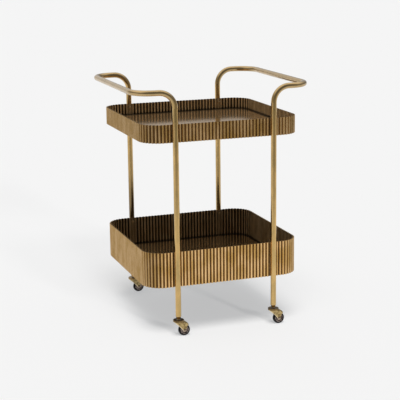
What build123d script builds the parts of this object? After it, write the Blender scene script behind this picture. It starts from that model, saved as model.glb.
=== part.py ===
from build123d import *
import math
import os

# Two-tier bar cart with fluted trays, bent tube end frames and four hooded casters.
# Millimetres. X is the long way, between the handles, Y runs from front to back, Z is up.
# The origin is on the floor, under the middle of the cart.

# Whole cart
cart_height = 830.0
overrun = 10.0  # how far every cut runs past what it cuts

# End frames
tube_diameter = 19.0
tube_wall = 1.2
handle_overhang = 132.5  # leg axis to the axis of the handle bar
shoulder_bend = 54.0  # centre-line radius from leg to arm
handle_bend = 66.0  # centre-line radius from arm to handle bar

# Trays
tray_length = 551.0
tray_depth = 523.0
tray_corner = 70.0  # over the crests of the flutes
leg_inset = 103.7  # end of a tray to the leg axis
handle_to_rim = 115.4  # top of the cart down to the upper tray's rim
upper_wall_height = 59.6
lower_rim_height = 288.7
lower_wall_height = 119.8
sheet = 1.0
flute_pitch = 11.85
flute_depth = 4.8
seat_flute_depth = 1.2  # the two flutes pressed down under each leg
seat_gap = 0.3  # leg to the groove that it lies in
seam_gap = 0.1  # between the strips that a wall is made of

# Floor pans
pan_sheet = 1.2
pan_lift = 20.0  # top of the floor over the wall's lower edge
pan_flange = 19.0
pan_gap = 0.3
pan_bend = 1.0
channel_width = 26.0
channel_height = 12.0
channel_sheet = 1.2
channel_spacing = 200.0
channel_end_gap = 0.4

# Screws that hold the trays to the legs
screw_diameter = 4.0
screw_head_diameter = 8.0
screw_head_height = 2.4
screw_length = 10.0
screw_hole_clearance = 0.2
rim_to_screw = 14.0
edge_to_screw = 9.0
washer_diameter = 10.0
washer_thickness = 0.8
washer_gap = 0.05
insert_diameter = 6.4
insert_length = 8.0
insert_clearance = 0.05
driver_width = 2.5
driver_depth = 1.4

# Ferrules at the leg ends
leg_end_height = 70.0
ferrule_end_height = 59.0
ferrule_end_diameter = 11.0
ferrule_spigot_length = 30.0
ferrule_clearance = 0.1
ferrule_lip = 1.5

# Casters
wheel_diameter = 40.0
wheel_width = 14.0
caster_trail = 18.9
tyre_height = 6.0
tyre_round = 3.5
hub_rim = 2.5
hub_width = 12.6
hub_web = 5.0
hub_boss_diameter = 13.0
cheek_inside = 19.0
cheek_sheet = 2.0
side_gap = 0.3
bush_diameter = 8.0
bush_clearance = 0.05
bush_end_gap = 0.05
axle_diameter = 6.0
axle_clearance = 0.1
axle_head_diameter = 10.0
axle_head_height = 2.8
axle_end = 0.8
axle_driver_width = 4.0
nut_width = 10.0
nut_height = 4.6
nut_chamfer = 0.6
stem_diameter = 8.0
stem_thread_length = 34.0
stem_clearance = 0.08
collar_diameter = 14.0
rivet_diameter = 13.0
rivet_height = 2.6
rivet_gap = 0.3
cup_top_height = 57.0
cup_diameter = 37.0
cup_height = 5.8
cup_plate = 2.6
cup_skirt = 1.6
cup_round = 1.0
crown_top_height = 51.6
crown_gap = 0.4
ball_diameter = 3.2
ball_count = 12
ball_circle_diameter = 24.0
ball_clearance = 0.15
hood_front = 14.0  # ahead of the stem
hood_rear = 31.5  # behind the stem
hood_flat = 15.0
hood_rear_height = 41.0
hood_crown = 2.8  # how far its sloping roof bulges
hood_round = 3.0
cheek_front_height = 47.0
cheek_rear_height = 38.0
cheek_tip_radius = 5.5
tip_rear_angle = 30.0
tip_front_angle = -165.0
cheek_front_curve = 1.5  # how far a cheek's edges curve in
cheek_rear_curve = 2.5

# Sizes that follow from the ones above
leg_x = tray_length / 2 - leg_inset
tube_radius = tube_diameter / 2
leg_y = tray_depth / 2 - flute_depth + seat_gap + tube_radius
handle_axis_height = cart_height - tube_radius
upper_rim_height = cart_height - handle_to_rim
wheel_radius = wheel_diameter / 2
hub_radius = wheel_radius - tyre_height
wall_inset = flute_depth + sheet  # crest of a flute to the innermost face of the wall
corner_flutes = round((tray_corner - wall_inset / 2) * math.pi / 2 / flute_pitch)
cheek_outside = cheek_inside + 2 * cheek_sheet
hood_top_height = cup_top_height - cup_height - crown_gap
crown_underside = hood_top_height - cheek_sheet
trays = {
    "upper": (upper_rim_height, upper_wall_height),
    "lower": (lower_rim_height, lower_wall_height),
}
corners = {
    "front_left": (-leg_x, -leg_y),
    "front_right": (leg_x, -leg_y),
    "back_left": (-leg_x, leg_y),
    "back_right": (leg_x, leg_y),
}

os.makedirs("parts", exist_ok=True)


def write(piece, node):
    piece.part.label = node
    export_step(piece.part, f"parts/{node}.step")


def screw_heights(rim, height):
    """Heights of a tray's upper and lower screws."""
    return rim - rim_to_screw, rim - height + edge_to_screw


# End frames: one tube up the front leg, round the handle and down the back leg

for side, sign in (("left", -1), ("right", 1)):
    bar_x = sign * (leg_x + handle_overhang)
    with BuildPart() as end_frame:
        with BuildLine() as route:
            FilletPolyline(
                (sign * leg_x, -leg_y, leg_end_height),
                (sign * leg_x, -leg_y, handle_axis_height),
                (bar_x, -leg_y, handle_axis_height),
                (bar_x, leg_y, handle_axis_height),
                (sign * leg_x, leg_y, handle_axis_height),
                (sign * leg_x, leg_y, leg_end_height),
                radius=[shoulder_bend, handle_bend, handle_bend, shoulder_bend],
            )
        with BuildSketch(Plane(origin=route.line @ 0, z_dir=route.line % 0)):
            Circle(tube_radius)
            Circle(tube_radius - tube_wall, mode=Mode.SUBTRACT)
        sweep()
        # Holes for the threaded inserts, on the side of each leg that faces the trays
        for rim, height in trays.values():
            for z in screw_heights(rim, height):
                for leg, inward in ((-leg_y, 1), (leg_y, -1)):
                    with BuildSketch(Plane((sign * leg_x, leg, z), z_dir=(0, inward, 0))):
                        Circle(insert_diameter / 2 + insert_clearance)
                    extrude(amount=tube_diameter, mode=Mode.SUBTRACT)
    write(end_frame, f"{side}_end_frame")


# Tray walls: a sheet with upright flutes that follows a rectangle with round corners


def flute_marks(place, depth):
    """Middle line of one flute: groove, flank, crest, flank, each with its normal."""
    lean = 2 * math.degrees(math.atan(2 * depth / flute_pitch))
    quarters = ((0, 0), (depth / 2, lean), (depth, 0), (depth / 2, -lean))
    marks = []
    for number, (height, turn) in enumerate(quarters):
        point, normal = place(number / 4)
        marks.append((point + normal * height, normal.rotate(Axis.Z, turn)))
    return marks


def straight_flutes(start, end, outward, count, pressed):
    """Flutes along a straight stretch; pressed holds the numbers of the shallow ones."""
    marks = []
    for number in range(count):
        def place(share, number=number):
            return start + (end - start) * ((number + share) / count), outward

        marks += flute_marks(place, seat_flute_depth if number in pressed else flute_depth)
    return marks


def corner_marks(centre, radius, first_angle, count):
    """Flutes round a quarter circle, clockwise from first_angle."""
    marks = []
    for number in range(count):
        def place(share, number=number):
            normal = Vector(1, 0).rotate(Axis.Z, first_angle - 90 * (number + share) / count)
            return centre + normal * radius, normal

        marks += flute_marks(place, flute_depth)
    return marks


def wall_marks():
    """Middle line of the whole wall, clockwise from the front left corner's end."""
    groove_x = tray_length / 2 - sheet / 2 - flute_depth
    groove_y = tray_depth / 2 - sheet / 2 - flute_depth
    radius = tray_corner - sheet / 2 - flute_depth
    flat_x, flat_y = groove_x - radius, groove_y - radius
    end_flutes = round((flat_x - leg_x) / flute_pitch)
    middle_flutes = round(2 * leg_x / flute_pitch)
    side_flutes = round(2 * flat_y / flute_pitch)
    # Straight stretches of the left and back walls: ends, outward direction, flutes, pressed ones
    stretches = (
        ((-groove_x, -flat_y), (-groove_x, flat_y), (-1, 0), side_flutes, ()),
        ((-flat_x, groove_y), (-leg_x, groove_y), (0, 1), end_flutes, (end_flutes - 1,)),
        ((-leg_x, groove_y), (leg_x, groove_y), (0, 1), middle_flutes, (0, middle_flutes - 1)),
        ((leg_x, groove_y), (flat_x, groove_y), (0, 1), end_flutes, (0,)),
    )
    marks = []
    for turn in (0, 180):
        def turned(x, y, turn=turn):
            return Vector(x, y).rotate(Axis.Z, turn)

        for start, end, outward, count, pressed in stretches:
            marks += straight_flutes(turned(*start), turned(*end), turned(*outward), count, pressed)
            if start[0] == -groove_x:
                marks += corner_marks(turned(-flat_x, flat_y), radius, 180 + turn, corner_flutes)
        marks += corner_marks(turned(flat_x, flat_y), radius, 90 + turn, corner_flutes)
    return marks


def wall_face(marks, shift):
    """One face of the sheet, as arcs, moved off its middle line by shift."""
    points = [point + normal * shift for point, normal in marks]
    points = points[1:] + points[:2]
    return [ThreePointArc(*arc, mode=Mode.PRIVATE) for arc in zip(points[0::2], points[1::2], points[2::2])]


middle_line = wall_marks()
with BuildSketch() as wall_section:
    with BuildLine():
        add(wall_face(middle_line, sheet / 2))
    make_face()
    with BuildLine():
        add(wall_face(middle_line, -sheet / 2))
    make_face(mode=Mode.SUBTRACT)
    # Each wall is four strips: the seams lie behind the legs, on the crests of the pressed flutes
    seam_x = leg_x - flute_pitch / 2
    with Locations((-seam_x, 0), (seam_x, 0)):
        Rectangle(seam_gap, tray_depth, mode=Mode.SUBTRACT)

for tray, (rim, height) in trays.items():
    with BuildPart() as tray_wall:
        with BuildSketch(Plane.XY.offset(rim - height)):
            add(wall_section.sketch)
        extrude(amount=height)
        with BuildSketch(Plane.XZ):
            with Locations(*[(x, z) for x in (-leg_x, leg_x) for z in screw_heights(rim, height)]):
                Circle(screw_diameter / 2 + screw_hole_clearance)
        extrude(amount=tray_depth, both=True, mode=Mode.SUBTRACT)
    write(tray_wall, f"{tray}_tray_wall")


# Floor pans: a plate with a flange turned down inside the wall, over two channels

for tray, (rim, height) in trays.items():
    floor_top = rim - height + pan_lift
    pan_length = tray_length - 2 * (wall_inset + pan_gap)
    pan_depth = tray_depth - 2 * (wall_inset + pan_gap)
    pan_corner = tray_corner - wall_inset - pan_gap
    with BuildPart() as floor_pan:
        with BuildSketch(Plane.XY.offset(floor_top)):
            RectangleRounded(pan_length, pan_depth, pan_corner)
        extrude(amount=-pan_flange)
        fillet(floor_pan.faces().sort_by(Axis.Z)[-1].edges(), pan_bend)
        with BuildSketch(Plane.XY.offset(floor_top - pan_sheet)):
            RectangleRounded(pan_length - 2 * pan_sheet, pan_depth - 2 * pan_sheet, pan_corner - pan_sheet)
        extrude(amount=-pan_flange, mode=Mode.SUBTRACT)
        with BuildSketch(Plane.XZ):
            with Locations((-leg_x, rim - height + edge_to_screw), (leg_x, rim - height + edge_to_screw)):
                Circle(screw_diameter / 2 + screw_hole_clearance)
        extrude(amount=tray_depth, both=True, mode=Mode.SUBTRACT)
    write(floor_pan, f"{tray}_tray_floor")

    channel_length = pan_depth - 2 * (pan_sheet + channel_end_gap)
    with BuildPart() as floor_channels:
        with BuildSketch(Plane.XY.offset(floor_top - pan_sheet)):
            with GridLocations(channel_spacing, channel_length, 2, 1):
                Rectangle(channel_width, channel_length)
        extrude(amount=-channel_height)
        with BuildSketch(Plane.XY.offset(floor_top - pan_sheet - channel_sheet)):
            with GridLocations(channel_spacing, channel_length, 2, 1):
                Rectangle(channel_width - 2 * channel_sheet, channel_length + overrun)
        extrude(amount=-channel_height, mode=Mode.SUBTRACT)
    write(floor_channels, f"{tray}_floor_channels")


# Screws, washers and inserts that hold each tray to the four legs


def screw_seats(rim, height):
    """Where a washer meets the sheet at each leg, facing into the tray."""
    wall_inner = tray_depth / 2 - wall_inset
    flange_inner = wall_inner - pan_gap - pan_sheet
    seats = []
    for x in (-leg_x, leg_x):
        for side in (-1, 1):
            for z, face in zip(screw_heights(rim, height), (wall_inner, flange_inner)):
                seats.append(Plane((x, side * (face - washer_gap), z), x_dir=(1, 0, 0), z_dir=(0, -side, 0)))
    return seats


def section_of(seat):
    """The plane through a seat's axis, with the axis up."""
    return Plane(seat.origin, x_dir=seat.x_dir, z_dir=-seat.y_dir)


def dome_outline(radius, height):
    """Half of a domed head, standing on the sketch's X axis."""
    edge = height / 3
    return [
        Polyline((0, height), (0, 0), (radius, 0), (radius, edge), mode=Mode.PRIVATE),
        TangentArc((0, height), (radius, edge), tangent=(1, 0), mode=Mode.PRIVATE),
    ]


for tray, (rim, height) in trays.items():
    seats = screw_seats(rim, height)
    with BuildPart() as washers:
        with BuildSketch(*seats):
            Circle(washer_diameter / 2)
            Circle(screw_diameter / 2 + screw_hole_clearance, mode=Mode.SUBTRACT)
        extrude(amount=washer_thickness)
    write(washers, f"{tray}_tray_washers")

    with BuildPart() as screws:
        for seat in seats:
            head_seat = seat.offset(washer_thickness)
            with BuildSketch(section_of(head_seat)):
                with BuildLine():
                    add(dome_outline(screw_head_diameter / 2, screw_head_height))
                make_face()
            revolve(axis=Axis(head_seat.origin, head_seat.z_dir))
            with BuildSketch(head_seat):
                Circle(screw_diameter / 2)
            extrude(amount=-screw_length)
            with BuildSketch(head_seat.offset(screw_head_height - driver_depth)):
                RegularPolygon(driver_width / 2, 6, major_radius=False)
            extrude(amount=screw_head_height, mode=Mode.SUBTRACT)
    write(screws, f"{tray}_tray_screws")

    # An insert starts below the curve of the tube that it sits in
    insert_recess = tube_radius - math.sqrt(tube_radius**2 - (insert_diameter / 2) ** 2)
    with BuildPart() as inserts:
        for x, leg in corners.values():
            inward = -math.copysign(1, leg)
            for z in screw_heights(rim, height):
                face = Plane((x, leg + inward * (tube_radius - insert_recess), z), z_dir=(0, inward, 0))
                with BuildSketch(face):
                    Circle(insert_diameter / 2)
                    Circle(screw_diameter / 2 + insert_clearance, mode=Mode.SUBTRACT)
                extrude(amount=-insert_length)
    write(inserts, f"{tray}_tray_inserts")


# Casters, one under each leg, trailing to the right at rest

for corner, (x, y) in corners.items():
    leg_axis = Axis((x, y, 0), (0, 0, 1))
    leg_section = Plane((x, y, 0), x_dir=(1, 0, 0), z_dir=(0, -1, 0))
    stem_radius = stem_diameter / 2

    with BuildPart() as ferrule:
        with BuildSketch(leg_section):
            with BuildLine():
                Polyline(
                    (stem_radius + ferrule_clearance, ferrule_end_height),
                    (ferrule_end_diameter / 2, ferrule_end_height),
                    (tube_radius, leg_end_height - ferrule_lip),
                    (tube_radius, leg_end_height),
                    (tube_radius - tube_wall - ferrule_clearance, leg_end_height),
                    (tube_radius - tube_wall - ferrule_clearance, leg_end_height + ferrule_spigot_length),
                    (stem_radius + ferrule_clearance, leg_end_height + ferrule_spigot_length),
                    close=True,
                )
            make_face()
        revolve(axis=leg_axis)
    write(ferrule, f"{corner}_leg_ferrule")

    with BuildPart() as stem:
        with BuildSketch(Plane((x, y, crown_underside - rivet_gap - rivet_height))):
            Circle(rivet_diameter / 2)
        extrude(amount=rivet_height)
        fillet(stem.faces().sort_by(Axis.Z)[0].edges(), rivet_height / 2)
        with BuildSketch(Plane((x, y, crown_underside - rivet_gap))):
            Circle(stem_radius)
        extrude(amount=ferrule_end_height + stem_thread_length - crown_underside + rivet_gap)
        chamfer(stem.faces().sort_by(Axis.Z)[-1].edges(), stem_radius / 4)
        with BuildSketch(Plane((x, y, cup_top_height))):
            Circle(collar_diameter / 2)
        extrude(amount=ferrule_end_height - cup_top_height)
    write(stem, f"{corner}_caster_stem")

    ball_height = (crown_top_height + cup_top_height - cup_plate) / 2
    with BuildPart() as cup:
        with BuildSketch(Plane((x, y, cup_top_height))):
            Circle(cup_diameter / 2)
            Circle(stem_radius + stem_clearance, mode=Mode.SUBTRACT)
        extrude(amount=-cup_height)
        with BuildSketch(Plane((x, y, cup_top_height - cup_plate))):
            Circle(cup_diameter / 2 - cup_skirt)
        extrude(amount=-cup_height, mode=Mode.SUBTRACT)
        fillet(cup.edges().group_by(Axis.Z)[-1].sort_by(SortBy.RADIUS)[-1], cup_round)
        with BuildSketch(leg_section):
            with Locations((ball_circle_diameter / 2, ball_height)):
                Circle(ball_diameter / 2 + ball_clearance)
        revolve(axis=leg_axis, mode=Mode.SUBTRACT)
    write(cup, f"{corner}_swivel_cup")

    with BuildPart() as balls:
        with Locations(Plane((x, y, ball_height))):
            with PolarLocations(ball_circle_diameter / 2, ball_count):
                Sphere(ball_diameter / 2)
    write(balls, f"{corner}_swivel_balls")

    # Fork: side outline first, then hollowed between the cheeks
    far_cheek = Plane((x, y + cheek_outside / 2, 0), x_dir=(1, 0, 0), z_dir=(0, -1, 0))
    tip = Vector(caster_trail, wheel_radius)
    tip_rear = tip + Vector(cheek_tip_radius, 0).rotate(Axis.Z, tip_rear_angle)
    tip_low = tip + Vector(cheek_tip_radius, 0).rotate(Axis.Z, (tip_rear_angle + tip_front_angle) / 2)
    tip_front = tip + Vector(cheek_tip_radius, 0).rotate(Axis.Z, tip_front_angle)
    with BuildPart() as fork:
        with BuildSketch(far_cheek):
            with BuildLine():
                Line((-hood_front, cheek_front_height), (-hood_front, hood_top_height))
                Line((-hood_front, hood_top_height), (hood_flat, hood_top_height))
                SagittaArc((hood_flat, hood_top_height), (hood_rear, hood_rear_height), hood_crown)
                Line((hood_rear, hood_rear_height), (hood_rear, cheek_rear_height))
                SagittaArc((hood_rear, cheek_rear_height), tip_rear, -cheek_rear_curve)
                ThreePointArc(tip_rear, tip_low, tip_front)
                SagittaArc(tip_front, (-hood_front, cheek_front_height), -cheek_front_curve)
            make_face()
        extrude(amount=cheek_outside)
        roof_edges = fork.edges().filter_by(lambda edge: edge.bounding_box().min.Z > cheek_rear_height)
        roof_edges = roof_edges.filter_by(Axis.Y, reverse=True).filter_by(Axis.Z, reverse=True)
        fillet(roof_edges, hood_round)
        roof_start = Vector(hood_flat, crown_underside)
        roof_end = Vector(hood_rear, hood_rear_height - cheek_sheet)
        with BuildSketch(far_cheek.offset(cheek_sheet)):
            with BuildLine():
                SagittaArc(roof_start, roof_end, hood_crown)
                Polyline(
                    roof_end,
                    roof_end + Vector(overrun, 0),
                    (hood_rear + overrun, 0),
                    (-hood_front - overrun, 0),
                    (-hood_front - overrun, crown_underside),
                    roof_start,
                )
            make_face()
        extrude(amount=cheek_inside, mode=Mode.SUBTRACT)
        with BuildSketch(Plane((x, y, crown_underside))):
            Circle(cup_diameter / 2 - cup_skirt - crown_gap)
        extrude(amount=crown_top_height - crown_underside)
        with BuildSketch(Plane((x, y, crown_top_height))):
            Circle(stem_radius + stem_clearance)
        extrude(amount=-crown_top_height, mode=Mode.SUBTRACT)
        with BuildSketch(leg_section):
            with Locations((ball_circle_diameter / 2, ball_height)):
                Circle(ball_diameter / 2 + ball_clearance)
        revolve(axis=leg_axis, mode=Mode.SUBTRACT)
        with BuildSketch(far_cheek):
            with Locations(tip):
                Circle(axle_diameter / 2 + axle_clearance)
        extrude(amount=cheek_outside, mode=Mode.SUBTRACT)
    write(fork, f"{corner}_caster_fork")

    # What turns on the axle: sections with the axle along the sketch's Y axis
    wheel_section = Plane((x + caster_trail, y, wheel_radius))
    wheel_axis = Axis(wheel_section.origin, (0, 1, 0))
    axle_radius, bush_radius = axle_diameter / 2, bush_diameter / 2
    outward = (Align.MIN, Align.CENTER)

    with BuildPart() as hub:
        with BuildSketch(wheel_section):
            boss_radius = hub_boss_diameter / 2
            bore_radius = bush_radius + bush_clearance
            rim_inner = hub_radius - hub_rim
            with Locations((bore_radius, 0)):
                Rectangle(boss_radius - bore_radius, cheek_inside - 2 * side_gap, align=outward)
                Rectangle(hub_radius - bore_radius, hub_web, align=outward)
            with Locations((rim_inner, 0)):
                Rectangle(hub_rim, hub_width, align=outward)
        revolve(axis=wheel_axis)
    write(hub, f"{corner}_wheel_hub")

    with BuildPart() as tyre:
        with BuildSketch(wheel_section) as tyre_section:
            with Locations((hub_radius, 0)):
                Rectangle(tyre_height, wheel_width, align=outward)
            fillet(tyre_section.vertices().group_by(Axis.X)[-1], tyre_round)
        revolve(axis=wheel_axis)
    write(tyre, f"{corner}_tyre")

    with BuildPart() as bush:
        with BuildSketch(wheel_section):
            with Locations((axle_radius + axle_clearance, 0)):
                bush_wall = bush_radius - axle_radius - axle_clearance
                Rectangle(bush_wall, cheek_inside - 2 * bush_end_gap, align=outward)
        revolve(axis=wheel_axis)
    write(bush, f"{corner}_axle_bush")

    near_cheek = Plane((x + caster_trail, y - cheek_outside / 2, wheel_radius), z_dir=(0, -1, 0))
    with BuildPart() as axle:
        with BuildSketch(section_of(near_cheek)):
            with BuildLine():
                add(dome_outline(axle_head_diameter / 2, axle_head_height))
            make_face()
        revolve(axis=Axis(near_cheek.origin, near_cheek.z_dir))
        with BuildSketch(near_cheek):
            Circle(axle_radius)
        extrude(amount=-(cheek_outside + nut_height + axle_end))
        with BuildSketch(near_cheek.offset(axle_head_height / 2)):
            RegularPolygon(axle_driver_width / 2, 6, major_radius=False)
        extrude(amount=axle_head_height, mode=Mode.SUBTRACT)
    write(axle, f"{corner}_axle_bolt")

    nut_seat = Plane((x + caster_trail, y + cheek_outside / 2, wheel_radius), z_dir=(0, 1, 0))
    with BuildPart() as nut:
        with BuildSketch(nut_seat):
            RegularPolygon(nut_width / 2, 6, major_radius=False)
        extrude(amount=nut_height)
        chamfer(nut.faces().sort_by(Axis.Y)[-1].edges(), nut_chamfer)
        with BuildSketch(nut_seat):
            Circle(axle_radius + axle_clearance)
        extrude(amount=nut_height, mode=Mode.SUBTRACT)
    write(nut, f"{corner}_axle_nut")
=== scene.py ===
# %% [markdown]
# A bar cart stands on a pale floor, seen from its front left. The solids of the cart come from the
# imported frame, in metres, and never move. This script gives them their finishes, models again, with
# softer shapes, the small parts that catch the eye, and sets up the floor, the light and the camera.

# %% Load the frame
import math

import bmesh
import bpy
from mathutils import Matrix, Vector


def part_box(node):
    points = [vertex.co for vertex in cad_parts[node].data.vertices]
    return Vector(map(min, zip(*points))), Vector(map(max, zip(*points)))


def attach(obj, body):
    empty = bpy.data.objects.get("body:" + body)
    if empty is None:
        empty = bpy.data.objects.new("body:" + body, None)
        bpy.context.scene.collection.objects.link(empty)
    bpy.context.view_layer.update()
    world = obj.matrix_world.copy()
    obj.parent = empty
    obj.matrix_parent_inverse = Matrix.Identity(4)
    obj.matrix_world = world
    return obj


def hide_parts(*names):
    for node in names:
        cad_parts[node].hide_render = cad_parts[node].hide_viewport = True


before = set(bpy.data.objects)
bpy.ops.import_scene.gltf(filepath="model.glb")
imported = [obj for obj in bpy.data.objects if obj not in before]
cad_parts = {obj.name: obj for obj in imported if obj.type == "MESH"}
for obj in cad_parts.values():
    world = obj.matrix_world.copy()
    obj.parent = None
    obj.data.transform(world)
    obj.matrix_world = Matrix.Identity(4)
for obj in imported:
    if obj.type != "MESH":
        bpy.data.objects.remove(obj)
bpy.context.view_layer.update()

# %% [markdown]
# The camera stands at the photograph's place. It was found from the cart's own lines: how far apart
# the legs look at the front and at the back gives the distance, and how far down each tray opens
# gives the height. The three angles below say where the camera is, seen from the cart, and how far the
# picture is rolled. The directions back, up and right of the camera are worked out from them.

# %% Where the camera looks from
VIEW_AZIMUTH = math.radians(-19.46)
VIEW_ELEVATION = math.radians(12.86)
VIEW_ROLL = math.radians(-0.67)

back = Vector(
    (
        math.sin(VIEW_AZIMUTH) * math.cos(VIEW_ELEVATION),
        -math.cos(VIEW_AZIMUTH) * math.cos(VIEW_ELEVATION),
        math.sin(VIEW_ELEVATION),
    )
)
level = Vector((math.cos(VIEW_AZIMUTH), math.sin(VIEW_AZIMUTH), 0))
upright = back.cross(level)
right = level * math.cos(VIEW_ROLL) + upright * math.sin(VIEW_ROLL)
up = upright * math.cos(VIEW_ROLL) - level * math.sin(VIEW_ROLL)
print("the camera looks along", [round(-part, 3) for part in back])

# %% [markdown]
# A long lens from four metres keeps the legs almost parallel. Blender gives a lens in millimetres, for
# a sensor of some width, so it is worked out from a focal length in pixels of the photograph. The
# camera could be turned by three angles. A small matrix whose columns are its right, up and back
# directions is surer, and keeps the slight roll.

# %% Camera
VIEW_DISTANCE = 4.126
AIM_RIGHT = 0.0032
AIM_HEIGHT = 0.3953
FOCAL_PIXELS = 1167.1
IMAGE_PIXELS = 400
SENSOR_WIDTH = 36
FAR_CLIP = 200

lens = bpy.data.cameras.new("camera")
lens.sensor_width = SENSOR_WIDTH
lens.lens = FOCAL_PIXELS / IMAGE_PIXELS * SENSOR_WIDTH
lens.clip_end = FAR_CLIP
camera = bpy.data.objects.new("camera", lens)
place = back * VIEW_DISTANCE + level * AIM_RIGHT + Vector((0, 0, AIM_HEIGHT))
camera.matrix_world = Matrix.Translation(place) @ Matrix((right, up, back)).transposed().to_4x4()
bpy.context.scene.collection.objects.link(camera)
bpy.context.scene.camera = camera
print("the camera stands at", [round(part, 3) for part in place])
print("its lens is", round(lens.lens, 1), "mm")

# %% [markdown]
# Every finish is a small network of nodes. One helper starts a material with the metalness and the
# roughness of its shader. Another adds a node with its settings and its inputs, and links each input
# that comes from another node.

# %% A material and its nodes


def new_material(name, metallic, roughness):
    material = bpy.data.materials.new(name)
    material.use_nodes = True
    tree = material.node_tree
    shader = tree.nodes["Principled BSDF"]
    shader.inputs["Metallic"].default_value = metallic
    shader.inputs["Roughness"].default_value = roughness
    return material, tree, shader


def add(tree, kind, links=(), **settings):
    """A node of a kind; links are (input, source) pairs, and a source is a socket or a value."""
    node = tree.nodes.new(kind)
    for key, value in settings.items():
        setattr(node, key, value)
    for socket, source in links:
        if isinstance(source, bpy.types.NodeSocket):
            tree.links.new(source, node.inputs[socket])
        else:
            node.inputs[socket].default_value = source
    return node


print("helpers for nodes: new_material and add")

# %% [markdown]
# With one short helper for each kind of step, a material further down reads as a list of what its
# finish is made of. The first ones do arithmetic on numbers and on vectors. A noise runs from 0 to 1,
# and swing turns it into small ups and downs about a middle value.

# %% Arithmetic with nodes


def calc(tree, operation, *values):
    """One step of arithmetic on numbers or number sockets."""
    return add(tree, "ShaderNodeMath", list(enumerate(values)), operation=operation).outputs[0]


def product(tree, first, *others):
    for other in others:
        first = calc(tree, "MULTIPLY", first, other)
    return first


def swing(tree, pattern, spread, middle=0.0):
    """Ups and downs about a middle value, as wide as the spread."""
    return calc(tree, "MULTIPLY_ADD", pattern, spread, middle - spread / 2)


def vector_calc(tree, operation, *values):
    return add(tree, "ShaderNodeVectorMath", list(enumerate(values)), operation=operation).outputs[0]


def parts(tree, vector):
    """The x, y and z of a vector."""
    return add(tree, "ShaderNodeSeparateXYZ", [(0, vector)]).outputs


print("helpers for sums: calc, product, swing, vector_calc and parts")

# %% [markdown]
# A ramp says how strong something is from one place to another, such as patina that fades up a leg. A
# colour ramp node could do it too, but its numbers are harder to read in a script. A mix then takes one
# colour where the ramp is 0 and the other where it is 1.

# %% Ramps and mixes
MIX_INPUTS = (0, 6, 7)  # the Mix node's sockets for colours: the factor and the two colours
MIX_RESULT = 2


def ramp(tree, value, low, high, start=0.0, end=1.0):
    """Start where the value is low, end where it is high, with a smooth step between."""
    links = [("Value", value), ("From Min", low), ("From Max", high), ("To Min", start), ("To Max", end)]
    return add(tree, "ShaderNodeMapRange", links, interpolation_type="SMOOTHSTEP").outputs[0]


def blend_colour(tree, factor, *colours):
    """A mix of two colours, given as three numbers or as sockets."""
    sources = [colour if isinstance(colour, bpy.types.NodeSocket) else (*colour, 1) for colour in colours]
    links = list(zip(MIX_INPUTS, [factor, *sources]))
    return add(tree, "ShaderNodeMix", links, data_type="RGBA").outputs[MIX_RESULT]


print("helpers for colour: ramp and blend_colour")

# %% [markdown]
# All patterns read Object coordinates, which on the cart are metres in the cart's own frame. So a
# scratch is as long as a real one, and stays where it is when a wheel turns. A noise is stretched by
# giving it fewer grains to the metre along one axis than along the others.

# %% Patterns


def object_place(tree):
    return add(tree, "ShaderNodeTexCoord").outputs["Object"]


def normal(tree):
    return add(tree, "ShaderNodeNewGeometry").outputs["Normal"]


def noise(tree, grains, detail=3.0, roughness=0.5):
    """Noise on the object's own coordinates, with so many grains to the metre along each axis."""
    grain = vector_calc(tree, "MULTIPLY", object_place(tree), grains)
    links = [("Vector", grain), ("Scale", 1.0), ("Detail", detail), ("Roughness", roughness)]
    return add(tree, "ShaderNodeTexNoise", links).outputs[0]


def bump(tree, shader, height, depth):
    """Lets a pattern stand out by a depth in metres."""
    node = add(tree, "ShaderNodeBump", [("Strength", 1.0), ("Distance", depth), ("Height", height)])
    tree.links.new(node.outputs[0], shader.inputs["Normal"])


print("helpers for patterns: object_place, normal, noise and bump")

# %% [markdown]
# A solid of the frame gets its finish by swapping the plain material in its slot. Most small parts come
# four times, once at each corner of the cart, so their names are made from the corners' names.

# %% Dressing the solids
CORNERS = ("front_left", "front_right", "back_left", "back_right")


def at_corners(*pieces):
    return [f"{corner}_{piece}" for piece in pieces for corner in CORNERS]


def dress(material, *nodes):
    """Gives nodes of the frame their finish."""
    for node in nodes:
        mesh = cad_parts[node].data
        mesh.materials.clear()
        mesh.materials.append(material)
    print(material.name, "on", len(nodes), "nodes")


print("the ferrules, for example:", *at_corners("leg_ferrule"))

# %% [markdown]
# The end frames are steel tube with an antique brass finish. It is brushed along the tube, then
# aged: brown patina stays in clouds, and hands and cloths have rubbed it thinner elsewhere. A clear
# lacquer lies over it, which is why a tube turns pale where it is seen at a slant. So the material
# is a metal with two brass tones mixed by noise, fine noise drawn out for the brush marks, and a coat.
# The same recipe with other tones serves the casters and the screws.

# %% Aged brass
PATINA_CLOUDS = (34, 34, 12)
PATINA_SPECKS = (420, 420, 260)
SPECK_SHARE = 0.08
WORN = (0.32, 0.72)  # the clouds' values where the patina starts to thin and where it is gone
STROKE_SPREAD = 0.08
WEAR_SPREAD = 0.06
STROKE_DEPTH = 0.000008
LACQUER_ROUGHNESS = 0.12


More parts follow.
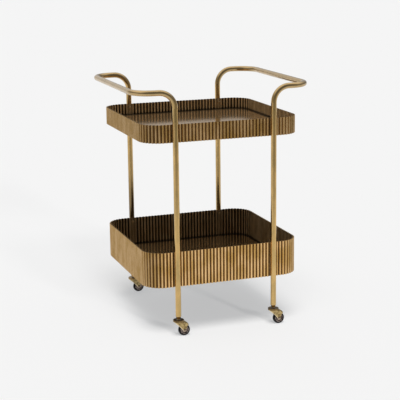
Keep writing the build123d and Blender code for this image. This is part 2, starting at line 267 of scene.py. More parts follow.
def aged_brass(name, bright, patina, roughness, brush, lacquer):
    """Brass with clouds of patina; brush gives the grains to the metre along each axis."""
    material, tree, shader = new_material(name, 1.0, roughness)
    clouds = noise(tree, PATINA_CLOUDS, detail=6.0, roughness=0.6)
    specks = noise(tree, PATINA_SPECKS, detail=2.0)
    worn = ramp(tree, calc(tree, "MULTIPLY_ADD", specks, SPECK_SHARE, clouds), *WORN)
    tree.links.new(blend_colour(tree, worn, patina, bright), shader.inputs["Base Color"])
    strokes = noise(tree, brush)
    dulled = calc(tree, "ADD", swing(tree, strokes, STROKE_SPREAD, roughness), WEAR_SPREAD / 2)
    spread = calc(tree, "MULTIPLY_ADD", worn, -WEAR_SPREAD, dulled)
    tree.links.new(spread, shader.inputs["Roughness"])
    bump(tree, shader, strokes, STROKE_DEPTH)
    shader.inputs["Coat Weight"].default_value = lacquer
    shader.inputs["Coat Roughness"].default_value = LACQUER_ROUGHNESS
    return material


TUBE_BRIGHT = (0.70, 0.455, 0.165)
TUBE_PATINA = (0.47, 0.325, 0.12)
ALONG_THE_LEGS = (1500, 1500, 45)
tube_brass = aged_brass(
    "tube_brass", TUBE_BRIGHT, TUBE_PATINA, roughness=0.24, brush=ALONG_THE_LEGS, lacquer=0.5
)
print("tube_brass has", len(tube_brass.node_tree.nodes), "nodes")

# %% [markdown]
# Two places on the tubes are duller. Hands have dulled the handles a little. And the back legs, where they
# pass the lower tray, are painted almost brown on the side that faces it: a painted reflection of the dark
# tray, more so on the left leg than on the right one. Each such place is a product of ramps, one for each
# axis that limits it, and one for the side that the surface faces.

# %% Dull handles, and painted reflection on the back legs
# the brown of the painted reflection of the tray on the back legs
PAINTED_TRAY_REFLECTION = (0.10, 0.068, 0.034)
HANDLED = (0.43, 0.31, 0.165)
# each ramp: where it starts, where it ends, and how strong the dullness is at either end
FACING_THE_TRAY = (0.55, -0.05)
TOWARDS_THE_BACK = (0.1, 0.25)
UP_THE_LEG = (0.56, 0.3, 0.05, 0.85)
FROM_THE_FOOT = (0.15, 0.25)
LEFT_TO_RIGHT = (-0.17, 0.17, 1.0, 0.3)
UP_TO_THE_HANDLE = (0.77, 0.815, 0.0, 0.6)

tree = tube_brass.node_tree
tube_colour = tree.nodes["Principled BSDF"].inputs["Base Color"]
across, along, height = parts(tree, object_place(tree))
# painted reflection of the dark tray on the back legs, stronger on the left one
painted_reflection = product(
    tree,
    ramp(tree, parts(tree, normal(tree))[1], *FACING_THE_TRAY),
    ramp(tree, along, *TOWARDS_THE_BACK),
    ramp(tree, height, *UP_THE_LEG),
    ramp(tree, height, *FROM_THE_FOOT),
    ramp(tree, across, *LEFT_TO_RIGHT),
)
handled = ramp(tree, height, *UP_TO_THE_HANDLE)
brass = blend_colour(tree, handled, tube_colour.links[0].from_socket, HANDLED)
tree.links.new(blend_colour(tree, painted_reflection, brass, PAINTED_TRAY_REFLECTION), tube_colour)
dress(tube_brass, "left_end_frame", "right_end_frame")

# %% [markdown]
# The tray walls are fluted sheet. On the real cart the ribs are rubbed bright and the grooves keep
# their dark patina, outside and inside. A shader can't see where a groove is, but the wall runs along
# a rectangle with round corners, so the depth can be worked out from the place alone: the distance to
# that rectangle is small in the grooves and large on the crests. The same sums give the direction
# that points out of the tray, and the surface's normal against it tells the outside from the inside.

# %% Place on a wall
CREST = 0.0053  # from the line through the grooves to the top of a rib
WALL_CORNER = 0.0647
# half of each straight stretch of that line
STRAIGHT = [high - CREST - WALL_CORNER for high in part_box("upper_tray_wall")[1][:2]]


def wall_place(tree):
    """How far a point lies outside the groove line, how squarely it faces out, and how much endwise."""
    flat = vector_calc(tree, "MULTIPLY", object_place(tree), (1, 1, 0))
    past = vector_calc(tree, "SUBTRACT", vector_calc(tree, "ABSOLUTE", flat), (*STRAIGHT, 0))
    past = vector_calc(tree, "MAXIMUM", past, (0, 0, 0))
    reach = add(tree, "ShaderNodeVectorMath", [(0, past)], operation="LENGTH").outputs["Value"]
    sides = vector_calc(tree, "SIGN", flat)
    outward = vector_calc(tree, "MULTIPLY", vector_calc(tree, "NORMALIZE", past), sides)
    faces = [(0, normal(tree)), (1, outward)]
    facing = add(tree, "ShaderNodeVectorMath", faces, operation="DOT_PRODUCT").outputs["Value"]
    endwise = calc(tree, "ABSOLUTE", parts(tree, outward)[0])
    return calc(tree, "SUBTRACT", reach, WALL_CORNER), facing, endwise


print("a wall is", round(4 * sum(STRAIGHT) + 2 * math.pi * WALL_CORNER, 3), "m round")

# %% [markdown]
# Outside, a rib turns from patina to brass over the first half of its height. The brass itself changes
# from rib to rib, between a brown and a pale gold, by noise in long upright streaks and in wide clouds.
# The ends of the trays, at the left and right, have been rubbed less.

# %% Outside of the walls
RIB = (CREST * 0.05, CREST * 0.52)  # the depths where patina ends and bare brass starts
RUB_STREAKS = (130, 130, 7)
RUB_CLOUDS = (22, 22, 16)
RUB_SPREAD = 0.5
BROWN_TO_GOLD = (-0.13, 0.13)
RIB_BROWN = (0.59, 0.36, 0.11)
RIB_GOLD = (0.87, 0.59, 0.29)
GROOVE_PATINA = (0.15, 0.086, 0.033)
TOWARDS_THE_ENDS = (0.0, 0.8, 1.0, 0.5)

fluted_brass, tree, shader = new_material("fluted_brass", metallic=1.0, roughness=0.3)
depth, facing, endwise = wall_place(tree)
rib = ramp(tree, depth, *RIB)
streaks = noise(tree, RUB_STREAKS, detail=5.0, roughness=0.65)
clouds = noise(tree, RUB_CLOUDS, detail=4.0)
rub = calc(tree, "ADD", swing(tree, streaks, RUB_SPREAD), swing(tree, clouds, RUB_SPREAD))
rib_brass = blend_colour(tree, ramp(tree, rub, *BROWN_TO_GOLD), RIB_BROWN, RIB_GOLD)
rubbed_ribs_and_fork_highlight = product(tree, rib, ramp(tree, endwise, *TOWARDS_THE_ENDS))
outer = blend_colour(tree, rubbed_ribs_and_fork_highlight, GROOVE_PATINA, rib_brass)
print("ribs bright from", round(1000 * RIB[1], 1), "mm of their", round(1000 * CREST, 1), "mm up")

# %% [markdown]
# Inside, the flutes are the other way round: what is a groove outside is a ridge here, and it was rubbed
# far less. Both tones are darker. In the lower tray they are darker still, a painted shade of the upper
# tray above it.

# %% Inside of the walls
SHEET = 0.001
RIDGE = (CREST * 0.34, -SHEET * 0.3)  # the depths where patina ends and brass starts
RIDGE_RUB = (-0.25, 0.2)
RIDGE_BROWN = (0.40, 0.29, 0.15)
RIDGE_GOLD = (0.80, 0.62, 0.39)
INNER_GROOVE = (0.10, 0.067, 0.034)
BLACK = (0, 0, 0)
PAINTED_SHADE_LOWER_TRAY = (0.3, 0.6, 0.72, 1.0)

ridge_brass = blend_colour(tree, ramp(tree, rub, *RIDGE_RUB), RIDGE_BROWN, RIDGE_GOLD)
inner = blend_colour(tree, ramp(tree, depth, *RIDGE), INNER_GROOVE, ridge_brass)
across, _, height = parts(tree, object_place(tree))
# painted shade in the lower tray, under the upper one
inner = blend_colour(tree, ramp(tree, height, *PAINTED_SHADE_LOWER_TRAY), BLACK, inner)
print("the lower tray is", round(100 * (1 - PAINTED_SHADE_LOWER_TRAY[2])), "percent darker inside")

# %% [markdown]
# A dark line runs along the foot of the wall, where it meets the floor: partly old wax that a cloth
# doesn't reach, partly painted contact shade. A little wax also darkens the pressed seats behind the legs.
# Both are distances again: up or down to the top of a floor, and sideways to the axis of a leg.

# %% Old wax and painted contact shade inside the walls
FLOOR_TOPS = [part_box(floor)[1][2] for floor in ("upper_tray_floor", "lower_tray_floor")]
LEG_X = abs(sum(corner[0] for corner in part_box("front_left_leg_ferrule")) / 2)
FOOT_SHADE_AND_WAX = 0.0065
AT_THE_FOOT = (FOOT_SHADE_AND_WAX, FOOT_SHADE_AND_WAX / 3, 0.0, 0.75)
AT_THE_SEAT = (0.0125, 0.0095, 0.0, 0.4)
WAX_AND_CONTACT_SHADE = (0.022, 0.014, 0.008)


def distance(tree, value, target):
    return calc(tree, "ABSOLUTE", calc(tree, "SUBTRACT", value, target))


nearest_floor = calc(tree, "MINIMUM", *(distance(tree, height, top) for top in FLOOR_TOPS))
nearest_leg = distance(tree, calc(tree, "ABSOLUTE", across), LEG_X)
# the dark line at the foot of the wall: old wax and painted contact shade
foot = ramp(tree, nearest_floor, *AT_THE_FOOT)
wax_and_contact_shade = calc(tree, "MAXIMUM", foot, ramp(tree, nearest_leg, *AT_THE_SEAT))
inner = blend_colour(tree, wax_and_contact_shade, inner, WAX_AND_CONTACT_SHADE)
print("wax near the floors at", [round(top, 4) for top in FLOOR_TOPS], "m")

# %% [markdown]
# The two sides come together by which way the surface faces. The bright ribs are smooth, and all the
# rest is dull. Fine upright brush marks lie over it, in the roughness and in the bump.

# %% Both sides of the walls
FACING_OUT = (-0.1, 0.1)
DULL_TO_POLISHED = (0.5, 0.16)
MARK_SPREAD = 0.08
MARK_DEPTH = 0.00002
UPRIGHT_MARKS = (1300, 1300, 60)

outside = ramp(tree, facing, *FACING_OUT)
tree.links.new(blend_colour(tree, outside, inner, outer), shader.inputs["Base Color"])
polished = ramp(tree, product(tree, outside, rib), 0.0, 1.0, *DULL_TO_POLISHED)
marks = noise(tree, UPRIGHT_MARKS)
rough = calc(tree, "MULTIPLY_ADD", marks, MARK_SPREAD, polished)
tree.links.new(rough, shader.inputs["Roughness"])
bump(tree, shader, marks, MARK_DEPTH)
dress(fluted_brass, "upper_tray_wall", "lower_tray_wall")

# %% [markdown]
# The floors are a smoother bronze that mirrors the walls. It isn't a perfect mirror: seen at a slant, a
# little roughness draws each flute's reflection out into a streak. Bottles slid about have left fine
# scuffs, which are two noises crossed. A trace of wax haze lies on top, made by letting a small part of
# the surface be no metal. Along the wall the floor darkens in a band that is partly old wax and partly
# painted contact shade. The underside was never polished.

# %% Bronze of the floors
METAL_SHARE = 0.9
FLOOR_CLOUDS = (9, 9, 9)
CLOUD_MIX = (0.35, 0.65)
SCUFFS_ACROSS = (140, 620, 140)
SCUFFS_ALONG = (620, 140, 140)
SCUFFED = (0.55, 0.75)
SCUFF_GAIN = 0.1
FACING_DOWN = (0.1, -0.3)
UNDER_GAIN = 0.5
UNDERSIDE = (0.13, 0.085, 0.045)
AT_THE_WALL = (-0.017, -0.007, 0.0, 0.75)


def floor_finish(name, bright, dark, roughness):
    """Bronze that mirrors, with a trace of old wax, and a dark band of wax and painted contact shade along
    the wall. Its underside was never polished.
    """
    material, tree, shader = new_material(name, METAL_SHARE, roughness)
    under = ramp(tree, parts(tree, normal(tree))[2], *FACING_DOWN)
    clouds = noise(tree, FLOOR_CLOUDS, detail=5.0, roughness=0.6)
    upper = blend_colour(tree, ramp(tree, clouds, *CLOUD_MIX), dark, bright)
    # a dark band along the wall: old wax and painted contact shade
    upper = blend_colour(tree, ramp(tree, wall_place(tree)[0], *AT_THE_WALL), upper, WAX_AND_CONTACT_SHADE)
    tree.links.new(blend_colour(tree, under, upper, UNDERSIDE), shader.inputs["Base Color"])
    scuffs = noise(tree, SCUFFS_ACROSS, detail=4.0, roughness=0.7)
    crossed = noise(tree, SCUFFS_ALONG, detail=4.0, roughness=0.7)
    both = calc(tree, "MAXIMUM", scuffs, crossed)
    worn = ramp(tree, both, *SCUFFED, roughness, roughness + SCUFF_GAIN)
    tree.links.new(calc(tree, "MULTIPLY_ADD", under, UNDER_GAIN, worn), shader.inputs["Roughness"])
    return material


floor_bronze = floor_finish(
    "floor_bronze", bright=(0.74, 0.49, 0.24), dark=(0.64, 0.42, 0.20), roughness=0.11
)
dress(floor_bronze, "upper_tray_floor", "lower_tray_floor")
underside_bronze = floor_finish(
    "underside_bronze", bright=(0.24, 0.17, 0.10), dark=(0.15, 0.105, 0.065), roughness=0.4
)
dress(underside_bronze, "upper_floor_channels", "lower_floor_channels")

# %% [markdown]
# The casters' ferrules are polished brass under a thin lacquer. The swivel cups are darker and bare, and
# so are the screws and washers, which nobody rubs. They are brushed in no direction, so their brush
# marks are as fine along every axis.

# %% Brass of the casters and screws
FINE = (900, 900, 900)
FINER = (1500, 1500, 1500)
CASTER_TONES = {"bright": (0.72, 0.52, 0.25), "patina": (0.50, 0.33, 0.13)}
DARK_TONES = {"bright": (0.36, 0.24, 0.10), "patina": (0.14, 0.09, 0.04)}
SCREW_TONES = {"bright": (0.44, 0.32, 0.18), "patina": (0.30, 0.21, 0.11)}

caster_brass = aged_brass("caster_brass", **CASTER_TONES, roughness=0.2, brush=FINE, lacquer=0.3)
dress(caster_brass, *at_corners("leg_ferrule"))
dark_brass = aged_brass("dark_brass", **DARK_TONES, roughness=0.3, brush=FINE, lacquer=0.0)
dress(dark_brass, *at_corners("swivel_cup"))
screw_brass = aged_brass("screw_brass", **SCREW_TONES, roughness=0.3, brush=FINER, lacquer=0.0)
dress(screw_brass, "upper_tray_screws", "lower_tray_screws", "upper_tray_washers", "lower_tray_washers")

# %% [markdown]
# The small steel parts share one recipe: a grey metal with a slight tint, tarnished in small clouds, with
# fine marks in its roughness. The hubs are the darkest: tarnish, and a dark tone that is painted shade of
# the forks over them.

# %% Steel of the casters and inserts
TARNISH_CLOUDS = (180, 180, 180)
STEEL_MARKS = (1200, 1200, 1200)
STEEL_SPREAD = 0.2


def steel(name, bright, dull, roughness):
    material, tree, shader = new_material(name, 1.0, roughness)
    tarnish = ramp(tree, noise(tree, TARNISH_CLOUDS, detail=5.0, roughness=0.6), *CLOUD_MIX)
    tree.links.new(blend_colour(tree, tarnish, dull, bright), shader.inputs["Base Color"])
    marks = swing(tree, noise(tree, STEEL_MARKS), STEEL_SPREAD, roughness)
    tree.links.new(marks, shader.inputs["Roughness"])
    return material


bare_steel = steel("bare_steel", (0.52, 0.52, 0.50), (0.36, 0.35, 0.33), roughness=0.35)
dress(bare_steel, *at_corners("caster_stem", "swivel_balls", "axle_bush"))
insert_steel = steel("insert_steel", (0.52, 0.50, 0.46), (0.36, 0.34, 0.30), roughness=0.4)
dress(insert_steel, "upper_tray_inserts", "lower_tray_inserts")
axle_steel = steel("axle_steel", (0.46, 0.36, 0.28), (0.28, 0.21, 0.16), roughness=0.3)
dress(axle_steel, *at_corners("axle_bolt", "axle_nut"))
# the hubs' dark tones are partly painted shade of the forks
hub_steel = steel("hub_steel", (0.36, 0.29, 0.26), (0.06, 0.045, 0.038), roughness=0.3)
dress(hub_steel, *at_corners("wheel_hub"))

# %% [markdown]
# The tyres are black rubber, which is a very dark grey with a dull sheen, paler and duller where dust
# sticks to it. The dust is noise in the colour and in the roughness, with a fine pebble in the bump.

# %% Rubber of the tyres
RUBBER = (0.008, 0.008, 0.009)
DUST = (0.026, 0.025, 0.023)
DUST_CLOUDS = (90, 90, 90)
DUSTY = (0.42, 0.72)
CLEAN_TO_DUSTY = (0.42, 0.7)
PEBBLE = (1500, 1500, 1500)
PEBBLE_DEPTH = 0.00004
RUBBER_SPECULAR = 0.12

tyre_black, tree, shader = new_material("tyre_black", metallic=0.0, roughness=0.55)
shader.inputs["Specular IOR Level"].default_value = RUBBER_SPECULAR
dust = ramp(tree, noise(tree, DUST_CLOUDS, detail=5.0, roughness=0.6), *DUSTY)
tree.links.new(blend_colour(tree, dust, RUBBER, DUST), shader.inputs["Base Color"])
tree.links.new(ramp(tree, dust, 0.0, 1.0, *CLEAN_TO_DUSTY), shader.inputs["Roughness"])
bump(tree, shader, noise(tree, PEBBLE, detail=2.0), PEBBLE_DEPTH)
print("tyre_black has", len(tree.nodes), "nodes")

# %% [markdown]
# Now the pieces that are modelled again. Blender's operators act on what is selected, in the mode that
# the window would be in. One helper starts a piece from a primitive, with its place already in its
# mesh, and another selects vertices by a test of where they are.

# %% Helpers for modelling


def start_piece(name, add_primitive, scale, place, **settings):
    """A primitive scaled at its place, with the place already in its mesh."""
    bpy.ops.object.select_all(action="DESELECT")
    add_primitive(**settings)
    piece = bpy.context.object
    piece.name = name
    piece.scale = scale
    piece.location = place
    bpy.ops.object.transform_apply(location=True, rotation=True, scale=True)
    return piece


def pick(piece, chosen):
    """Selects the vertices that a test of their place picks, and what lies between them."""
    bpy.ops.mesh.select_all(action="DESELECT")
    mesh = bmesh.from_edit_mesh(piece.data)
    for vertex in mesh.verts:
        vertex.select = chosen(vertex.co)
    mesh.select_flush_mode()
    bmesh.update_edit_mesh(piece.data)
    return sum(vertex.select for vertex in mesh.verts)


print("helpers for modelling: start_piece and pick")

# %% [markdown]
# A tyre of this kind is moulded: it has rounded shoulders, a fine ridge round the middle of the tread
# where the two halves of the mould met, and a raised ring on each side. A round section could be
# drawn with a curve, but it is quick to start from one flat rectangle, shape it to the tyre's section
# and spin that round the axle. First the rectangle gets its rounded corners, two at the tread and two
# smaller ones at the hub.

# %% Section of a tyre
TYRE_BORE = 0.014
TREAD_ROUND = 0.0036
BEAD_ROUND = 0.0008
MOULD_RIDGE = 0.00025
SIDE_RING = 0.0005

low, high = (Vector(corner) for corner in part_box("front_left_tyre"))
axle = (low + high) / 2
tread = (high.z - low.z) / 2 - MOULD_RIDGE
side = (high.y - low.y) / 2 - SIDE_RING
middle = (TYRE_BORE + tread) / 2

tyre = start_piece(
    "front_left_rubber_tyre",
    bpy.ops.mesh.primitive_plane_add,
    (tread - TYRE_BORE, 2 * side, 1),
    axle + Vector((0, 0, middle)),
    size=1,
    rotation=(0, math.pi / 2, 0),
)
bpy.ops.object.mode_set(mode="EDIT")
pick(tyre, lambda place: place.z > axle.z + middle)
bpy.ops.mesh.bevel(offset=TREAD_ROUND, segments=6, affect="VERTICES")
pick(tyre, lambda place: place.z < axle.z + middle - BEAD_ROUND)
bpy.ops.mesh.bevel(offset=BEAD_ROUND, segments=3, affect="VERTICES")
bpy.ops.mesh.select_all(action="SELECT")
bpy.ops.mesh.delete(type="ONLY_FACE")
print("a tyre of", round(2000 * (tread + MOULD_RIDGE), 1), "mm round a hub of", round(2000 * TYRE_BORE, 1))

# %% [markdown]
# The ridge is modelled in the section too. The straight line of the tread is cut in five parts. The
# four new points are drawn together, and the two in the middle are raised.

# %% Mould ridge of the tyre
CUTS = 4
DRAWN_SHARE = 0.3

pick(tyre, lambda place: place.z > axle.z + tread - MOULD_RIDGE / 4)
bpy.ops.mesh.subdivide(number_cuts=CUTS)
drawn = pick(tyre, lambda place: place.z > axle.z + middle and abs(place.y - axle.y) < side / 3)
bpy.ops.transform.resize(value=(1, DRAWN_SHARE, 1), center_override=axle)
raised = pick(tyre, lambda place: place.z > axle.z + middle and abs(place.y - axle.y) < side / 20)
bpy.ops.transform.translate(value=(0, 0, MOULD_RIDGE))
print("points drawn together:", drawn, "and raised:", raised)

# %% [markdown]
# The ring on each side is made in the same way, halfway between the hub and the shoulder. Here the
# middle points of both sides are moved at once, by scaling them away from the axle.

# %% Side rings of the tyre
flat_low = TYRE_BORE + BEAD_ROUND
flat_high = tread - TREAD_ROUND
ring = (flat_low + flat_high) / 2
reach = (flat_high - flat_low) / 8

pick(tyre, lambda place: abs(place.y - axle.y) > side - BEAD_ROUND / 20)
bpy.ops.mesh.subdivide(number_cuts=CUTS)
raised = pick(tyre, lambda place: abs(place.z - axle.z - ring) < reach)
bpy.ops.transform.resize(value=(1, 1 + SIDE_RING / side, 1), center_override=axle)
print("points of the side rings:", raised)

# %% [markdown]
# Spin turns the section once round the axle. Its last copy lands on the first, so the doubles are
# merged, and then the normals are made to point outwards all over. Seventy-two steps are enough for a
# tyre that is seen from a few metres.

# %% Spin the tyre
SPIN_STEPS = 72
MERGE_DISTANCE = 0.00002
SMOOTH_ANGLE = math.radians(40)

bpy.ops.mesh.select_all(action="SELECT")
bpy.ops.mesh.spin(steps=SPIN_STEPS, angle=2 * math.pi, center=axle, axis=(0, 1, 0))
bpy.ops.mesh.select_all(action="SELECT")
bpy.ops.mesh.remove_doubles(threshold=MERGE_DISTANCE)
bpy.ops.mesh.normals_make_consistent(inside=False)
bpy.ops.object.mode_set(mode="OBJECT")
bpy.ops.object.shade_smooth_by_angle(angle=SMOOTH_ANGLE)
print("the tyre has", len(tyre.data.polygons), "faces")

# %% [markdown]
# One tyre is enough to model. The other three are copies, each with its own mesh, moved by the
# distance between the boxes of the solids that they stand for.

# %% Four tyres


def finish_piece(piece, material, slot, body, *nodes):
    """Gives a piece its material and its body, and hides the nodes that it stands for. The slot is not
    used.
    """
    piece.data.materials.clear()
    piece.data.materials.append(material)
    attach(piece, body)
    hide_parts(*nodes)


def copy_piece(piece, name, shift):
    """The same piece again, with a mesh of its own, moved by a vector."""
    twin = piece.copy()
    twin.data = piece.data.copy()
    twin.name = name
    twin.data.transform(Matrix.Translation(shift))
    bpy.context.scene.collection.objects.link(twin)
    return twin


tyres = {"front_left": tyre}
for corner in CORNERS[1:]:
    shift = Vector(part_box(f"{corner}_tyre")[0]) - low
    tyres[corner] = copy_piece(tyre, f"{corner}_rubber_tyre", shift)
for corner, piece in tyres.items():
    finish_piece(piece, tyre_black, "tyre_black", f"{corner}_wheel", f"{corner}_tyre")
print("tyres on", len(tyres), "wheels")

# %% [markdown]
# The forks are pressed from sheet brass: every edge is a little rounded, and the cheeks have a raised
# rim that stiffens them and catches the light. The CAD fork has sharp edges and flat cheeks. Its mesh
# is a good start all the same. It is loose triangles, so a copy is merged into one skin, and the
# triangles of each flat face are joined.

# %% Skin of a fork
LOOSE = 0.00001
FLAT_ANGLE = math.radians(0.5)

bpy.ops.object.select_all(action="DESELECT")
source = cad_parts["front_left_caster_fork"]
fork = bpy.data.objects.new("front_left_pressed_fork", source.data.copy())
bpy.context.scene.collection.objects.link(fork)
bpy.context.view_layer.objects.active = fork
fork.select_set(True)
bpy.ops.object.mode_set(mode="EDIT")
bpy.ops.mesh.select_all(action="SELECT")
bpy.ops.mesh.remove_doubles(threshold=LOOSE)
bpy.ops.mesh.dissolve_limited(angle_limit=FLAT_ANGLE)
print("the fork's skin has", len(bmesh.from_edit_mesh(fork.data).faces), "faces")

# %% [markdown]
# Each cheek is found as the flat faces at the fork's very front or back. An inset leaves the rim, and
# its depth presses in what lies within the rim.

# %% Cheeks of the fork
RIM = 0.0011
PRESSED = 0.0005
SQUARE_ON = 0.99
fork_low, fork_high = (Vector(corner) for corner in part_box("front_left_caster_fork"))


def pick_cheek(piece, side):
    """Selects the flat outer faces of a cheek; side is -1 for the front one and 1 for the back one."""
    bpy.ops.mesh.select_all(action="DESELECT")
    mesh = bmesh.from_edit_mesh(piece.data)
    outer = fork_low.y if side < 0 else fork_high.y
    for face in mesh.faces:
        flat = face.normal.y * side > SQUARE_ON
        face.select_set(flat and abs(face.calc_center_median().y - outer) < RIM / 10)
    bmesh.update_edit_mesh(piece.data)
    return sum(face.select for face in mesh.faces)


for side in (-1, 1):
    count = pick_cheek(fork, side)
    bpy.ops.mesh.inset(thickness=RIM, depth=-PRESSED, use_boundary=True, use_even_offset=True)
    print("cheek of", count, "faces pressed in")

# %% [markdown]
# The edges could be selected and bevelled in edit mode. A Bevel modifier is quicker here: it finds the
# sharp edges by their angle, rounds those alone, and is then applied.

# %% Edges of the fork
EDGE_ROUND = 0.00035

bpy.ops.object.mode_set(mode="OBJECT")
bevel = fork.modifiers.new("edges", "BEVEL")
bevel.width = EDGE_ROUND
bevel.segments = 2
bevel.limit_method = "ANGLE"
bevel.angle_limit = SMOOTH_ANGLE
bpy.ops.object.modifier_apply(modifier=bevel.name)
bpy.ops.object.shade_smooth_by_angle(angle=SMOOTH_ANGLE)
print("the fork has", len(fork.data.polygons), "faces")

# %% [markdown]
# The leading edge of each cheek runs down from the crown to the axle, and a bright band of colour along it
# is a painted highlight. As with the flutes, the shader works out a distance from the place alone: how far
# a point lies behind the line of that edge. All four forks point to the right at rest, so the line is the
# same at every leg, counted from the leg's own axis.

# %% Painted highlight on the forks' leading edge
EDGE_TOP = Vector((-0.014, 0.047))  # how far right of the leg's axis, and how high
EDGE_FOOT = Vector((0.0155, 0.0165))
HIGHLIGHT_BAND = 0.0045
FORK_ROUGHNESS = 0.2
run = (EDGE_FOOT - EDGE_TOP).normalized()

fork_brass, tree, shader = new_material("fork_brass", 1.0, FORK_ROUGHNESS)
across, _, height = parts(tree, object_place(tree))
ahead = calc(tree, "SUBTRACT", across, calc(tree, "MULTIPLY", calc(tree, "SIGN", across), LEG_X))
aside = calc(tree, "MULTIPLY", calc(tree, "SUBTRACT", ahead, EDGE_TOP.x), -run.y)
behind = calc(tree, "MULTIPLY_ADD", calc(tree, "SUBTRACT", height, EDGE_TOP.y), run.x, aside)
# the band of the painted highlight behind the leading edge
rubbed_ribs_and_fork_highlight = ramp(tree, behind, HIGHLIGHT_BAND, HIGHLIGHT_BAND / 4)
print("the leading edge is", round(1000 * (EDGE_FOOT - EDGE_TOP).length, 1), "mm long")

# %% [markdown]
# The rest of a fork is brass in two tones, tarnished in small clouds, with fine marks in its roughness.

# %% Brass of the forks
FORK_CLOUDS = (160, 160, 160)
FORK_MIX = (0.38, 0.62)
FORK_TARNISHED = (0.20, 0.135, 0.055)
FORK_BRASS = (0.52, 0.39, 0.18)
FORK_HIGHLIGHT = (0.93, 0.78, 0.52)
FORK_SPREAD = 0.12

tarnish = ramp(tree, noise(tree, FORK_CLOUDS, detail=5.0, roughness=0.6), *FORK_MIX)
brass = blend_colour(tree, tarnish, FORK_TARNISHED, FORK_BRASS)
# the painted highlight along the leading edge
tree.links.new(blend_colour(tree, rubbed_ribs_and_fork_highlight, brass, FORK_HIGHLIGHT), shader.inputs["Base Color"])
tree.links.new(swing(tree, noise(tree, FINE), FORK_SPREAD, FORK_ROUGHNESS), shader.inputs["Roughness"])

forks = {"front_left": fork}
for corner in CORNERS[1:]:
    shift = Vector(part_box(f"{corner}_caster_fork")[0]) - fork_low
    forks[corner] = copy_piece(fork, f"{corner}_pressed_fork", shift)
for corner, piece in forks.items():
    finish_piece(piece, fork_brass, "caster_brass", f"{corner}_caster", f"{corner}_caster_fork")
print("forks on", len(forks), "casters")

# %% [markdown]
# The cart stands on a wide pale sheet in a bright studio. A white floor could simply be lit until it is
# white, but then the light would be too strong for the cart. Here the sheet's paleness comes from its
# own material: about half of it is light that it scatters, so it keeps the cart's shadow, and the rest
# is a steady glow that only the camera and reflections see.

# %% Sheet under the cart
PALE = 0.913  # the photograph's even background, as light
SHEET_WIDTH = 90

bpy.ops.object.select_all(action="DESELECT")
bpy.ops.mesh.primitive_plane_add(size=SHEET_WIDTH)
ground = bpy.context.object
ground.name = "ground"
pale_sheet = bpy.data.materials.new("pale_sheet")
pale_sheet.use_nodes = True
ground.data.materials.append(pale_sheet)
print("sheet laid,", SHEET_WIDTH, "m wide")

# %% [markdown]
# The Light Path node tells what kind of ray has met a surface. The sheet and the background glow for
# rays from the camera and for those that come by way of metal or glass. All other rays, which bring
# light to the cart, find no glow on the sheet and a dimmer background.

# %% Kinds of ray


def seen_directly(tree):
    """The kinds of ray, and 1 for the rays that come from the camera or by way of metal or glass."""
    rays = add(tree, "ShaderNodeLightPath").outputs
    mirrored = calc(tree, "MAXIMUM", rays["Is Glossy Ray"], rays["Is Transmission Ray"])
    return rays, calc(tree, "MAXIMUM", rays["Is Camera Ray"], mirrored)


print("helper for rays: seen_directly")

# %% [markdown]
# To both sides of the cart less of the sheet's light is scattered, so the shadow is soft and pale
# there. The glow makes up the rest, and the sheet looks even where nothing shades it.

# %% Scattered light and glow
SCATTERED = (0.51, 0.5, 0.49)
SHADOW_MIDDLE = 0.02
TO_THE_SIDES = (0.18, 0.36, 1.0, 0.5)

tree = pale_sheet.node_tree
tree.nodes.clear()
rays, seen = seen_directly(tree)
across, along, _ = parts(tree, object_place(tree))
near = ramp(tree, distance(tree, across, SHADOW_MIDDLE), *TO_THE_SIDES)
grey = add(tree, "ShaderNodeCombineXYZ", [(axis, near) for axis in range(3)]).outputs[0]
scattered = vector_calc(tree, "MULTIPLY", SCATTERED, grey)
steady = vector_calc(tree, "SUBTRACT", (PALE, PALE, PALE), scattered)
scatter = add(tree, "ShaderNodeBsdfDiffuse", [("Color", scattered)]).outputs[0]
glow = add(tree, "ShaderNodeEmission", [("Color", steady), ("Strength", seen)]).outputs[0]
both = add(tree, "ShaderNodeAddShader", [(0, scatter), (1, glow)]).outputs[0]
print("under the cart the sheet scatters", round(100 * SCATTERED[1] / PALE), "percent of its light")

# %% [markdown]
# Brass has little colour of its own, it shows what stands around it. The sheet is bright near the cart
# and behind it. In front it fades into a dim studio over a few metres, so reflections that look that
# far forward are darker.

# %% Dim studio in front
FORWARD = (-0.7, -4.1)
DIM = 0.26

dimness = product(tree, ramp(tree, along, *FORWARD), rays["Is Glossy Ray"])
beyond = add(tree, "ShaderNodeEmission", [("Strength", PALE * DIM)]).outputs[0]
surface = add(tree, "ShaderNodeMixShader", [(0, dimness), (1, both), (2, beyond)]).outputs[0]
add(tree, "ShaderNodeOutputMaterial", [("Surface", surface)])
print("reflections of the sheet fade from", -FORWARD[0], "to", -FORWARD[1], "m in front of the cart")

# %% [markdown]
# The world does the same for what lies above the floor. To the camera it is the plain background. To
# reflections it is a bright ceiling over walls that are dimmer low down, less so behind the cart and to
# its left, and darkest at the front, as a studio's are. Each of these is a ramp over the ray's direction.

# %% Reflections of the studio
LOW_SKY = 0.75
FRONT_SKY = 0.16
ZENITH = 1.3
DOWNWARD = (0.75, 0.35)
TO_THE_FRONT = (-0.1, -0.75)
TO_THE_BACK = (0.6, 0.88)
LESS_TO_THE_RIGHT = (0.32, 0.08, 0.3, 1.0)
BACK_LIT = 0.5

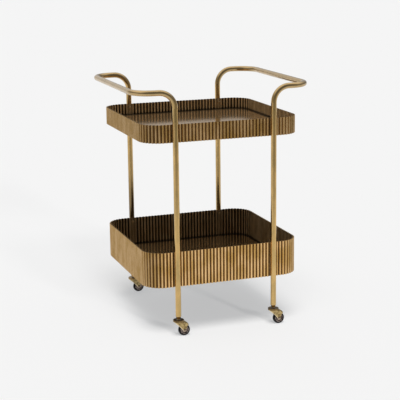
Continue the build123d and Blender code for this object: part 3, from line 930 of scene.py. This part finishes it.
world = bpy.data.worlds.new("studio")
bpy.context.scene.world = world
world.use_nodes = True
tree = world.node_tree
tree.nodes.clear()
rays, seen = seen_directly(tree)
across, along, height = parts(tree, add(tree, "ShaderNodeTexCoord").outputs["Generated"])
behind = product(tree, ramp(tree, along, *TO_THE_BACK), ramp(tree, across, *LESS_TO_THE_RIGHT))
lit = calc(tree, "MULTIPLY_ADD", behind, -BACK_LIT, 1.0)
low_sky = product(tree, ramp(tree, height, *DOWNWARD), lit, LOW_SKY)
front = product(tree, ramp(tree, along, *TO_THE_FRONT), 1 - FRONT_SKY)
dark = calc(tree, "MAXIMUM", low_sky, front)
mirrored = product(tree, calc(tree, "SUBTRACT", 1.0, dark), ZENITH)
print("the studio's front is", round(ZENITH * FRONT_SKY, 2), "times as bright as its background")

# %% [markdown]
# As a light the world is an even, neutral fill, much weaker than what the camera sees. With a plain
# blend between two numbers, each kind of ray gets its own strength.

# %% Fill light
FILL = 0.25


def blend(tree, factor, first, second):
    """Between two numbers, by a factor from 0 to 1."""
    links = [("Value", factor), ("To Min", first), ("To Max", second)]
    return add(tree, "ShaderNodeMapRange", links).outputs[0]


shown = product(tree, blend(tree, rays["Is Glossy Ray"], 1.0, mirrored), PALE)
strength = blend(tree, seen, FILL, shown)
sky = add(tree, "ShaderNodeBackground", [("Color", (1, 1, 1, 1)), ("Strength", strength)]).outputs[0]
add(tree, "ShaderNodeOutputWorld", [("Surface", sky)])
print("the fill is", round(100 * FILL / PALE), "percent of the background")

# %% [markdown]
# Two large suns, high and low, stand in for the big lamps at the front of the studio. They cast the
# soft shadow under the trays and the thin ones behind the wheels. Area lamps could do it too, but a sun
# lights the whole sheet alike, and its energy can be worked out from the level that it gives a floor.

# %% Lamps


def sun(name, azimuth, elevation, level, spread):
    """A far lamp that lights a level floor to the given level; azimuth 0 is straight in front."""
    light = bpy.data.lights.new(name, "SUN")
    light.energy = level * math.pi / math.sin(math.radians(elevation))
    light.angle = math.radians(spread)
    lamp = bpy.data.objects.new(name, light)
    lamp.rotation_euler = (math.radians(90 - elevation), 0, math.radians(azimuth))
    lamp.visible_glossy = False
    bpy.context.scene.collection.objects.link(lamp)
    print(name, "of energy", round(light.energy, 2))


sun("high_lamp", azimuth=-20, elevation=68, level=0.63, spread=30)
sun("low_lamp", azimuth=14, elevation=17, level=0.12, spread=6)
bpy.context.scene.view_settings.view_transform = "Standard"
